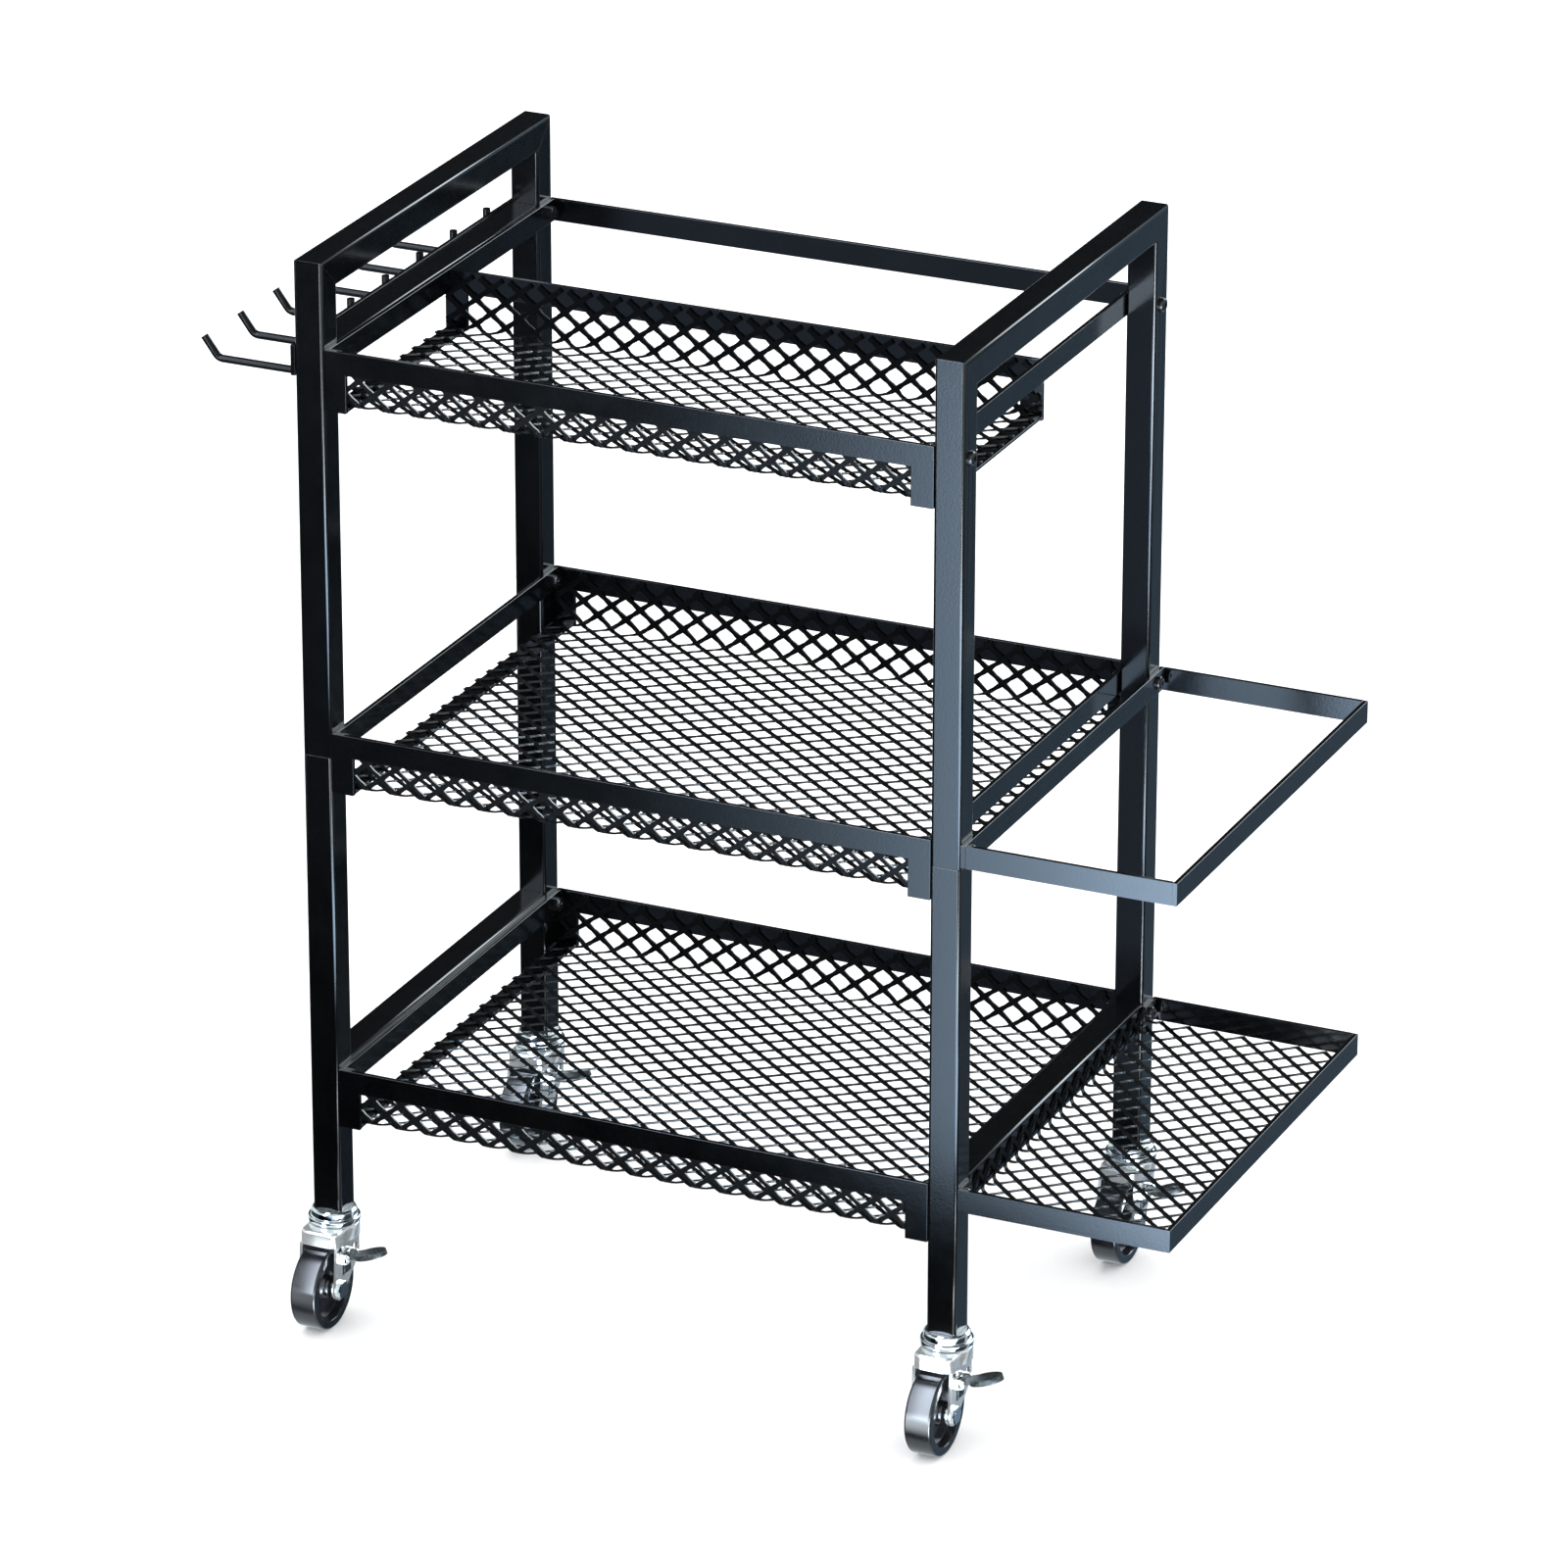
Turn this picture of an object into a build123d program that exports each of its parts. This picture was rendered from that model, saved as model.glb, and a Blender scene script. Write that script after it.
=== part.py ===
"""Three-tier wheeled tool cart: welded tube side frames, flat-bar trays with
expanded-metal mesh, a hook rail on the left, a hoop and a shelf on the right,
and four swivel casters with brake levers.

Cart frame while modelling: X = 0 at the left face of the left legs, Y = 0 at
the front face of the front legs, Z = 0 at the lower end of the legs.  Every
piece is moved to the stored frame (floor level, middle of the whole cart) when
it is written.
"""
from build123d import *
from math import atan2, cos, degrees, hypot, radians, sin
import os

# ---------------------------------------------------------------- dimensions
# Side frames
TUBE = 20.0                  # square tube, outside
TUBE_WALL = 1.5
TUBE_ROUND = 2.0             # outside corner radius of the tube
FRAME_WIDTH = 450.0          # over the left and right legs
FRAME_DEPTH = 323.0          # over the front and rear legs
LEG_LENGTH = 644.5
LEG_JOINT = 316.0            # each leg is a lower and an upper length butted here
JOINT_PLUG_BELOW = 34.0      # the plug inside the joint reaches this far down
JOINT_PLUG_ABOVE = 30.0
JOINT_PLUG_WALL = 1.5
LOW_RAIL_TOP = 104.5         # top of the lowest side rails
HOOK_RAIL_HEIGHT = 15.0      # the side rail behind the hook bar is flatter

# Flat bar used for rims, straps, hoop and shelf
BAR = 15.0
BAR_THICK = 3.0

# Trays
TIER_TOPS = {"bottom": 101.5, "middle": 333.0, "top": 588.5}
TRAY_DROP = 40.0             # rim top down to the lower end of the corner plates
TOP_TRAY_REACH = 171.0       # the top tray fills only the front part
FLOOR_STRAP_WIDTH = 13.0
FLOOR_STRAP_THICK = 2.0
FLOOR_STRAP_INSET = 1.5

# Expanded-metal mesh
MESH_THICK = 2.0
MESH_STRAND = 2.4
TRAY_MESH_PITCH = (20.7, 16.5)
SHELF_MESH_PITCH = (19.0, 18.0)
MESH_EDGE = 1.2
MESH_BELOW_RIM = 2.0         # the mesh walls end this far under the rim top

# Side hoop and side shelf
SIDE_REACH = 142.0

# Hook bar and hooks
HOOK_BAR = 20.0
HOOK_BAR_THICK = 3.0
HOOK_COUNT = 6
HOOK_PITCH = 48.0
HOOK_FIRST = 39.0
HOOK_WIRE = 5.0
HOOK_TOP_RISE = 2.0          # wire end above the hook bar
HOOK_DROP = 12.0             # horizontal run below the hook bar
HOOK_REACH = 71.0            # bar face to the start of the upturned tip
HOOK_TIP_OUT = 10.0
HOOK_TIP_UP = 13.5
HOOK_BEND = 6.0

# Bolts through the legs
BOLT = 5.0
BOLT_HOLE = 5.4
BOLT_HEAD = 9.5
BOLT_HEAD_HEIGHT = 2.8
BOLT_SOCKET = 3.0
NUT_FLATS = 8.0
NUT_HEIGHT = 4.0
BOLT_TAIL = 1.2              # thread standing out of the nut

# Casters, measured from the lower end of the leg
CASTER_HEIGHT = 77.0
WHEEL_RADIUS = 28.0
WHEEL_WIDTH = 18.0
WHEEL_ROUND = 1.6
WHEEL_TRAIL = 19.0
HUB_WIDTH = 11.0
HUB_RADIUS = 8.5
WEB_RECESS = 6.0
SLEEVE_RADIUS = 7.6          # spacer sleeves between the hub and the fork plates
RIM_INNER_RADIUS = 22.0
AXLE = 6.0
AXLE_HEAD = 10.0
AXLE_HEAD_HEIGHT = 2.5
FORK_OUTER = 27.0
FORK_PLATE = 2.0
FORK_TOP = 9.6               # top of the fork crown below the leg
FORK_CROWN_THICK = 2.5
FORK_SKIRT = 19.5            # lower edge of the crown skirt below the leg
FORK_BACK_RADIUS = 16.5
FORK_FRONT = 24.5
FORK_CORNER = 5.5            # plan radius of the skirt's front corners
FORK_SHOULDER = 2.2          # rolled edge round the top of the crown
PLATE_SET_BACK = 1.6         # plates start this far behind the skirt's front
FORK_EYE = 7.5
FORK_REAR = 8.0
STEM = 8.0
STEM_LENGTH = 24.0
SOCKET_DEPTH = 28.0
CUP_RADIUS = 15.0
CUP_HEIGHT = 5.6
RING_RADIUS = 17.0
RING_HEIGHT = 3.7
NECK = 10.0
RIVET_RADIUS = 7.5
RIVET_HEIGHT = 3.0
RUNNING_FIT = 0.05           # radial clearance of pins and bores
END_PLAY = 0.3

# Brake lever, in the caster's own frame
LEVER_PIN = 3.0
LEVER_PIN_X = 16.4
LEVER_PIN_Z = -29.0
LEVER_FRONT = -16.0
LEVER_REAR = -5.0
LEVER_BARREL = 5.2
LEVER_EAR = 2.0
LEVER_EAR_RADIUS = 3.0
PEDAL_NECK = 3.8             # straight root that clears the ears
PEDAL_LENGTH = 28.0
PEDAL_WIDTH = 14.6           # across the middle of the leaf
PEDAL_NECK_WIDTH = 10.0
PEDAL_RIM = 1.6
PEDAL_THICK = 2.2
PEDAL_SHIFT = -1.5           # the leaf leans this far from the lever's middle, towards the front
PEDAL_TILT = 20.0
PEDAL_LIP = 2.4
SHOE_THICK = 2.2
SHOE_X = 12.4
SHOE_DROP = 11.0
WINDOW_MARGIN = 1.2
SLOT_ROUND = 1.6
FRONT_SLOT = (-21.0, -13.5, -25.2, -20.3)   # lightening slots in the lever's plate: y0, y1, z0, z1
REAR_SLOT = (-0.5, 5.5, -33.0, -25.0)

HALF_TUBE = TUBE / 2
CASTER_CENTRES = {
    "front_left": (HALF_TUBE, HALF_TUBE),
    "front_right": (FRAME_WIDTH - HALF_TUBE, HALF_TUBE),
    "rear_left": (HALF_TUBE, FRAME_DEPTH - HALF_TUBE),
    "rear_right": (FRAME_WIDTH - HALF_TUBE, FRAME_DEPTH - HALF_TUBE),
}

# Extents of the whole cart in the modelling frame, used to place the origin
TIP_SIDE = HOOK_WIRE / 2 * HOOK_TIP_UP / hypot(HOOK_TIP_OUT, HOOK_TIP_UP)
CART_LEFT = -(HOOK_BAR_THICK + HOOK_REACH + HOOK_TIP_OUT + TIP_SIDE)
CART_RIGHT = FRAME_WIDTH + SIDE_REACH
CART_FRONT = HALF_TUBE - WHEEL_TRAIL - WHEEL_RADIUS
CART_REAR = FRAME_DEPTH - HALF_TUBE + RING_RADIUS
ORIGIN = Vector((CART_LEFT + CART_RIGHT) / 2, (CART_FRONT + CART_REAR) / 2, -CASTER_HEIGHT)

nodes = {}


# ------------------------------------------------------------------- helpers
def block(x0, x1, y0, y1, z0, z1):
    """Box between two corners."""
    centre = ((x0 + x1) / 2, (y0 + y1) / 2, (z0 + z1) / 2)
    return Pos(*centre) * Box(x1 - x0, y1 - y0, z1 - z0)


def rod_x(radius, x0, x1, y, z):
    """Round bar along X."""
    return Pos((x0 + x1) / 2, y, z) * Rot(0, 90, 0) * Cylinder(radius, x1 - x0)


def rod_y(radius, y0, y1, x, z):
    """Round bar along Y."""
    return Pos(x, (y0 + y1) / 2, z) * Rot(90, 0, 0) * Cylinder(radius, y1 - y0)


def tube_profile(width, height):
    """Hollow rounded rectangle centred on the origin."""
    inner_round = max(TUBE_ROUND - TUBE_WALL, 0.4)
    outer = RectangleRounded(width, height, TUBE_ROUND)
    return outer - RectangleRounded(width - 2 * TUBE_WALL, height - 2 * TUBE_WALL, inner_round)


def prism_x(points, x0, x1):
    """Polygon given as (y, z) points, extruded along X."""
    face = Plane.YZ * Polygon(*points, align=None)
    return Pos(x0, 0, 0) * extrude(face, x1 - x0, dir=(1, 0, 0))


def lower_leg(x_left, front):
    """Vertical tube from the caster up to the joint."""
    y_mid = HALF_TUBE if front else FRAME_DEPTH - HALF_TUBE
    return Pos(x_left + HALF_TUBE, y_mid, 0) * extrude(tube_profile(TUBE, TUBE), LEG_JOINT)


def upper_leg(x_left, front):
    """Vertical tube above the joint, mitred at its upper end to meet the top rail."""
    y_mid = HALF_TUBE if front else FRAME_DEPTH - HALF_TUBE
    body = extrude(tube_profile(TUBE, TUBE), LEG_LENGTH - LEG_JOINT)
    body = Pos(x_left + HALF_TUBE, y_mid, LEG_JOINT) * body
    outer_y, inner_y = (0, TUBE) if front else (FRAME_DEPTH, FRAME_DEPTH - TUBE)
    corner = [(outer_y, LEG_LENGTH), (inner_y, LEG_LENGTH), (inner_y, LEG_LENGTH - TUBE)]
    return body - prism_x(corner, x_left, x_left + TUBE)


def top_rail(x_left):
    """Top tube of a side frame, mitred at both ends."""
    profile = Plane.XZ * tube_profile(TUBE, TUBE)
    body = extrude(profile, FRAME_DEPTH, dir=(0, 1, 0))
    body = Pos(x_left + HALF_TUBE, 0, LEG_LENGTH - HALF_TUBE) * body
    for outer_y, inner_y in ((0, TUBE), (FRAME_DEPTH, FRAME_DEPTH - TUBE)):
        corner = [(outer_y, LEG_LENGTH), (outer_y, LEG_LENGTH - TUBE), (inner_y, LEG_LENGTH - TUBE)]
        body -= prism_x(corner, x_left, x_left + TUBE)
    return body


def cross_rail(x_left, z_top, height):
    """Horizontal tube between the front and rear leg."""
    profile = Plane.XZ * tube_profile(TUBE, height)
    body = extrude(profile, FRAME_DEPTH - 2 * TUBE, dir=(0, 1, 0))
    return Pos(x_left + HALF_TUBE, TUBE, z_top - height / 2) * body


def clip_polygon(points, low, high):
    """Part of a convex polygon inside an upright rectangle."""
    for axis in (0, 1):
        for limit, keep_above in ((low[axis], True), (high[axis], False)):
            kept = []
            for i, current in enumerate(points):
                before = points[i - 1]
                inside = (current[axis] >= limit) == keep_above
                inside_before = (before[axis] >= limit) == keep_above
                if inside != inside_before:
                    share = (limit - before[axis]) / (current[axis] - before[axis])
                    cut = tuple(b + share * (c - b) for b, c in zip(before, current))
                    kept.append(cut)
                if inside:
                    kept.append(current)
            points = kept
            if not points:
                return []
    return points


def polygon_area(points):
    """Area of a simple polygon."""
    total = 0.0
    for i, (x, y) in enumerate(points):
        total += points[i - 1][0] * y - x * points[i - 1][1]
    return abs(total) / 2


def without_repeats(points):
    """Drop corners that fall on the one before."""
    kept = []
    for i, point in enumerate(points):
        previous = points[i - 1]
        if hypot(point[0] - previous[0], point[1] - previous[1]) > 0.3:
            kept.append(point)
    return kept


def mesh_sheet(length, width, pitch, thick):
    """Flat expanded-metal sheet with its corner at the origin, in the XY plane."""
    half_x = pitch[0] / 2
    half_y = pitch[1] / 2
    spacing = half_x * half_y / hypot(half_x, half_y)
    shrink = 1 - MESH_STRAND / (2 * spacing)
    low = (MESH_EDGE, MESH_EDGE)
    high = (length - MESH_EDGE, width - MESH_EDGE)
    smallest = 0.04 * pitch[0] * pitch[1]
    holes = []
    for row in range(int(width / half_y) + 2):
        offset = half_x * (row % 2)
        for column in range(int(length / pitch[0]) + 2):
            cx = column * pitch[0] + offset
            cy = row * half_y
            dx = half_x * shrink
            dy = half_y * shrink
            diamond = [(cx + dx, cy), (cx, cy + dy), (cx - dx, cy), (cx, cy - dy)]
            shape = without_repeats(clip_polygon(diamond, low, high))
            if len(shape) > 2 and polygon_area(shape) > smallest:
                holes.append(Wire.make_polygon([(x, y, 0) for x, y in shape]))
    edge = Wire.make_polygon([(0, 0, 0), (length, 0, 0), (length, width, 0), (0, width, 0)])
    return extrude(Face(edge, holes), thick, dir=(0, 0, 1))


def leg_holes(x0, x1, z_levels, y_positions):
    """Cutters for the bolts that cross a leg or strap along X."""
    cutters = []
    for z in z_levels:
        for y in y_positions:
            cutters.append(rod_x(BOLT_HOLE / 2, x0, x1, y, z))
    return cutters


def cut_all(body, cutters):
    """Subtract every cutter."""
    for cutter in cutters:
        body -= cutter
    return body


def solids_of(*shapes):
    """Every solid of the given shapes."""
    found = []
    for shape in shapes:
        found.extend(shape.solids())
    return found


def add(name, *shapes):
    """Keep a node as a compound of its solids."""
    nodes[name] = Compound(children=solids_of(*shapes))


# -------------------------------------------------------------- side frames
RIGHT = FRAME_WIDTH - TUBE
BOLT_LEVELS = {tier: top - BAR / 2 for tier, top in TIER_TOPS.items()}
BOLT_ROWS = (HALF_TUBE, FRAME_DEPTH - HALF_TUBE)


def build_side_frames():
    for side, x_left in (("left", 0.0), ("right", RIGHT)):
        cutters = leg_holes(x_left - 1, x_left + TUBE + 1, BOLT_LEVELS.values(), BOLT_ROWS)
        for end, front in (("front", True), ("rear", False)):
            add(f"{side}_frame_{end}_leg_lower", cut_all(lower_leg(x_left, front), cutters))
            add(f"{side}_frame_{end}_leg_upper", cut_all(upper_leg(x_left, front), cutters))
        add(f"{side}_frame_top_rail", top_rail(x_left))
        add(f"{side}_frame_low_rail", cross_rail(x_left, LOW_RAIL_TOP, TUBE))
    add("left_frame_hook_rail", cross_rail(0.0, TIER_TOPS["top"], HOOK_RAIL_HEIGHT))
    socket = Pos(0, 0, SOCKET_DEPTH / 2) * Box(
        TUBE - 2 * TUBE_WALL - 0.2, TUBE - 2 * TUBE_WALL - 0.2, SOCKET_DEPTH
    )
    socket = fillet(socket.edges().filter_by(Axis.Z), 0.8)
    socket -= Pos(0, 0, SOCKET_DEPTH / 2) * Cylinder(STEM / 2, SOCKET_DEPTH)
    add("leg_sockets", *[Pos(x, y, 0) * socket for x, y in CASTER_CENTRES.values()])
    plug_width = TUBE - 2 * TUBE_WALL - 0.2
    plug_bore = plug_width - 2 * JOINT_PLUG_WALL
    plug_plan = RectangleRounded(plug_width, plug_width, 1.0)
    plug_plan -= RectangleRounded(plug_bore, plug_bore, 0.5)
    plug = extrude(plug_plan, JOINT_PLUG_BELOW + JOINT_PLUG_ABOVE)
    plug = Pos(0, 0, LEG_JOINT - JOINT_PLUG_BELOW) * plug
    plug -= rod_x(BOLT_HOLE / 2, -TUBE, TUBE, 0, BOLT_LEVELS["middle"])
    add("leg_joint_plugs", *[Pos(x, y, 0) * plug for x, y in CASTER_CENTRES.values()])


# -------------------------------------------------------------------- trays
def end_frame(y_outer, y_inner, z_top):
    """Rim with a corner plate hanging from each end."""
    y0, y1 = sorted((y_outer, y_inner))
    rim = block(TUBE, RIGHT, y0, y1, z_top - BAR, z_top)
    left = block(TUBE, TUBE + BAR, y0, y1, z_top - TRAY_DROP, z_top)
    right = block(RIGHT - BAR, RIGHT, y0, y1, z_top - TRAY_DROP, z_top)
    return rim + left + right


def tray_mesh(depth, z_top):
    """Mesh floor and the two mesh walls bent up from it."""
    x0 = TUBE + FLOOR_STRAP_INSET
    length = RIGHT - FLOOR_STRAP_INSET - x0
    floor_z = z_top - TRAY_DROP + FLOOR_STRAP_THICK
    width = depth - 2 * BAR_THICK
    floor = mesh_sheet(length, width, TRAY_MESH_PITCH, MESH_THICK)
    wall_height = z_top - MESH_BELOW_RIM - floor_z - MESH_THICK
    wall_x = TUBE + BAR_THICK
    wall = mesh_sheet(RIGHT - BAR_THICK - wall_x, wall_height, TRAY_MESH_PITCH, MESH_THICK)
    wall = Rot(90, 0, 0) * wall
    wall_z = floor_z + MESH_THICK
    return [
        Pos(x0, BAR_THICK, floor_z) * floor,
        Pos(wall_x, BAR_THICK + MESH_THICK, wall_z) * wall,
        Pos(wall_x, depth - BAR_THICK, wall_z) * wall,
    ]


def build_trays():
    for tier, z_top in TIER_TOPS.items():
        depth = TOP_TRAY_REACH if tier == "top" else FRAME_DEPTH
        cutters = leg_holes(TUBE - 1, RIGHT + 1, [BOLT_LEVELS[tier]], BOLT_ROWS)
        add(f"{tier}_tray_front_frame", end_frame(0, BAR_THICK, z_top))
        rear = end_frame(depth, depth - BAR_THICK, z_top)
        if tier == "top":
            notch = block(TUBE, TUBE + BAR_THICK, 0, FRAME_DEPTH, z_top - BAR, z_top)
            rear -= notch
            rear -= Pos(RIGHT - TUBE - BAR_THICK, 0, 0) * notch
        add(f"{tier}_tray_rear_frame", rear)
        straps = []
        floor_straps = []
        strap_z = z_top - TRAY_DROP
        for x0, direction in ((TUBE, 1), (RIGHT, -1)):
            inner = x0 + direction * BAR_THICK
            y_range = (BAR_THICK, FRAME_DEPTH - BAR_THICK)
            strap = block(*sorted((x0, inner)), *y_range, z_top - BAR, z_top)
            straps.append(cut_all(strap, cutters))
            edge = x0 + direction * FLOOR_STRAP_INSET
            far = edge + direction * FLOOR_STRAP_WIDTH
            floor_straps.append(
                block(*sorted((edge, far)), BAR_THICK, depth - BAR_THICK,
                      strap_z, strap_z + FLOOR_STRAP_THICK)
            )
        add(f"{tier}_tray_end_straps", *straps)
        add(f"{tier}_tray_floor_straps", *floor_straps)
        add(f"{tier}_tray_mesh", *tray_mesh(depth, z_top))
    z_top = TIER_TOPS["top"]
    add("back_top_bar", block(TUBE, RIGHT, FRAME_DEPTH - BAR_THICK, FRAME_DEPTH, z_top - BAR, z_top))


# ----------------------------------------------------- hoop and side shelf
def build_side_carriers():
    x_out = FRAME_WIDTH + SIDE_REACH
    hoop_top = TIER_TOPS["middle"]
    cutters = leg_holes(FRAME_WIDTH - 1, FRAME_WIDTH + BAR_THICK + 1,
                        [BOLT_LEVELS["middle"]], BOLT_ROWS)
    inner = block(FRAME_WIDTH, FRAME_WIDTH + BAR_THICK, 0, FRAME_DEPTH, hoop_top - BAR, hoop_top)
    outer = block(x_out - BAR_THICK, x_out, 0, FRAME_DEPTH, hoop_top - BAR, hoop_top)
    add("side_hoop_long_bars", cut_all(inner, cutters), outer)
    ends = []
    for y0 in (0, FRAME_DEPTH - BAR_THICK):
        ends.append(block(FRAME_WIDTH + BAR_THICK, x_out - BAR_THICK, y0, y0 + BAR_THICK,
                          hoop_top - BAR, hoop_top))
    add("side_hoop_end_bars", *ends)

    shelf_top = TIER_TOPS["bottom"]
    shelf_low = shelf_top - BAR
    cutters = leg_holes(FRAME_WIDTH - 1, FRAME_WIDTH + MESH_THICK + 1,
                        [BOLT_LEVELS["bottom"]], BOLT_ROWS)
    add("side_shelf_outer_bar",
        block(x_out - BAR_THICK, x_out, 0, FRAME_DEPTH, shelf_low, shelf_top))
    ends = []
    tabs = []
    for y0, y_tab in ((0, BAR_THICK), (FRAME_DEPTH - BAR_THICK, FRAME_DEPTH - TUBE + 1)):
        ends.append(block(FRAME_WIDTH, x_out - BAR_THICK, y0, y0 + BAR_THICK, shelf_low, shelf_top))
        tab = block(FRAME_WIDTH, FRAME_WIDTH + MESH_THICK, y_tab, y_tab + TUBE - BAR_THICK - 1,
                    shelf_low, shelf_top)
        tabs.append(cut_all(tab, cutters))
    add("side_shelf_end_bars", *ends)
    add("side_shelf_leg_tabs", *tabs)
    floor = mesh_sheet(x_out - BAR_THICK - FRAME_WIDTH, FRAME_DEPTH - 2 * BAR_THICK,
                       SHELF_MESH_PITCH, MESH_THICK)
    floor_z = shelf_low - MESH_THICK
    back_start = TUBE + 1
    back_length = FRAME_DEPTH - 2 * back_start
    back = mesh_sheet(back_length, BAR + MESH_THICK - 3, SHELF_MESH_PITCH, MESH_THICK)
    back = Rot(0, 0, 90) * (Rot(90, 0, 0) * back)
    add("side_shelf_mesh",
        Pos(FRAME_WIDTH, BAR_THICK, floor_z) * floor,
        Pos(FRAME_WIDTH, back_start, floor_z + MESH_THICK) * back)


# ---------------------------------------------------------------- hook side
def build_hooks():
    top = TIER_TOPS["top"]
    bar = block(-HOOK_BAR_THICK, 0, 0, FRAME_DEPTH, top - HOOK_BAR, top)
    cutters = leg_holes(-HOOK_BAR_THICK - 1, 1, [BOLT_LEVELS["top"]], BOLT_ROWS)
    add("hook_bar", cut_all(bar, cutters))
    x_wire = -HOOK_BAR_THICK - HOOK_WIRE / 2
    x_bend = -HOOK_BAR_THICK - HOOK_REACH
    z_run = top - HOOK_BAR - HOOK_DROP
    path = FilletPolyline(
        (x_wire, 0, top + HOOK_TOP_RISE),
        (x_wire, 0, z_run),
        (x_bend, 0, z_run),
        (x_bend - HOOK_TIP_OUT, 0, z_run + HOOK_TIP_UP),
        radius=HOOK_BEND,
    )
    section = Plane(origin=path @ 0, z_dir=path % 0) * Circle(HOOK_WIRE / 2)
    hook = sweep(section, path=path)
    hooks = [Pos(0, HOOK_FIRST + HOOK_PITCH * i, 0) * hook for i in range(HOOK_COUNT)]
    add("side_hooks", *hooks)


# ----------------------------------------------------------------- fasteners
def bolt(x_seat, x_nut_face, direction, y, z):
    """Button-head bolt along X; direction is +1 when the head faces +X."""
    head = extrude(Plane.YZ * Circle(BOLT_HEAD / 2), BOLT_HEAD_HEIGHT, dir=(1, 0, 0))
    head = fillet(head.faces().sort_by(Axis.X)[-1].edges(), BOLT_HEAD_HEIGHT - 0.6)
    recess = extrude(Plane.YZ * RegularPolygon(BOLT_SOCKET / 2, 6, major_radius=False), 2.0,
                     dir=(1, 0, 0))
    head -= Pos(BOLT_HEAD_HEIGHT - 1.8, 0, 0) * recess
    if direction < 0:
        head = Rot(0, 180, 0) * head
    shank = rod_x(BOLT / 2, *sorted((x_seat, x_nut_face - direction * BOLT_TAIL)), y, z)
    return Pos(x_seat, y, z) * head + shank


def nut(x_face, direction, y, z):
    """Hexagon nut whose bearing face is at x_face, standing towards direction."""
    body = extrude(Plane.YZ * RegularPolygon(NUT_FLATS / 2, 6, major_radius=False), NUT_HEIGHT,
                   dir=(direction, 0, 0))
    body -= rod_x(BOLT / 2, *sorted((0, direction * NUT_HEIGHT)), 0, 0)
    return Pos(x_face, y, z) * body


def build_fasteners():
    bolts = []
    nuts = []
    left_seat = {"bottom": 0.0, "middle": 0.0, "top": -HOOK_BAR_THICK}
    right_seat = {
        "bottom": FRAME_WIDTH + MESH_THICK,
        "middle": FRAME_WIDTH + BAR_THICK,
        "top": FRAME_WIDTH,
    }
    left_face = TUBE + BAR_THICK
    right_face = RIGHT - BAR_THICK
    for tier, z in BOLT_LEVELS.items():
        for y in BOLT_ROWS:
            bolts.append(bolt(left_seat[tier], left_face + NUT_HEIGHT, -1, y, z))
            nuts.append(nut(left_face, 1, y, z))
            bolts.append(bolt(right_seat[tier], right_face - NUT_HEIGHT, 1, y, z))
            nuts.append(nut(right_face, -1, y, z))
    add("leg_bolts", *bolts)
    add("leg_nuts", *nuts)


# ------------------------------------------------------------------- casters
AXLE_Y = -WHEEL_TRAIL
AXLE_Z = WHEEL_RADIUS - CASTER_HEIGHT
PLATE_OUT = FORK_OUTER / 2
PLATE_IN = PLATE_OUT - FORK_PLATE
CROWN_LOW = -FORK_TOP - FORK_CROWN_THICK


def stem_piece():
    """Threaded stem, race cup, race ring, neck and the rivet head below the fork."""
    ring_low = -CUP_HEIGHT - RING_HEIGHT
    rivet_top = CROWN_LOW - END_PLAY
    profile = Polyline(
        (0, STEM_LENGTH),
        (STEM / 2 - 0.8, STEM_LENGTH),
        (STEM / 2, STEM_LENGTH - 0.8),
        (STEM / 2, 0),
        (CUP_RADIUS - 1.5, 0),
        (CUP_RADIUS, -1.5),
        (CUP_RADIUS, -CUP_HEIGHT + 0.6),
        (CUP_RADIUS + 0.6, -CUP_HEIGHT),
        (RING_RADIUS - 0.5, -CUP_HEIGHT),
        (RING_RADIUS, -CUP_HEIGHT - 0.5),
        (RING_RADIUS, ring_low + 0.5),
        (RING_RADIUS - 0.5, ring_low),
        (NECK / 2, ring_low),
        (NECK / 2, rivet_top),
        (RIVET_RADIUS, rivet_top),
        (RIVET_RADIUS, rivet_top - RIVET_HEIGHT + 1),
        (RIVET_RADIUS - 1.5, rivet_top - RIVET_HEIGHT),
        (0, rivet_top - RIVET_HEIGHT),
        (0, STEM_LENGTH),
    )
    face = make_face(Plane.XZ * profile)
    return revolve(face, Axis.Z)


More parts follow.
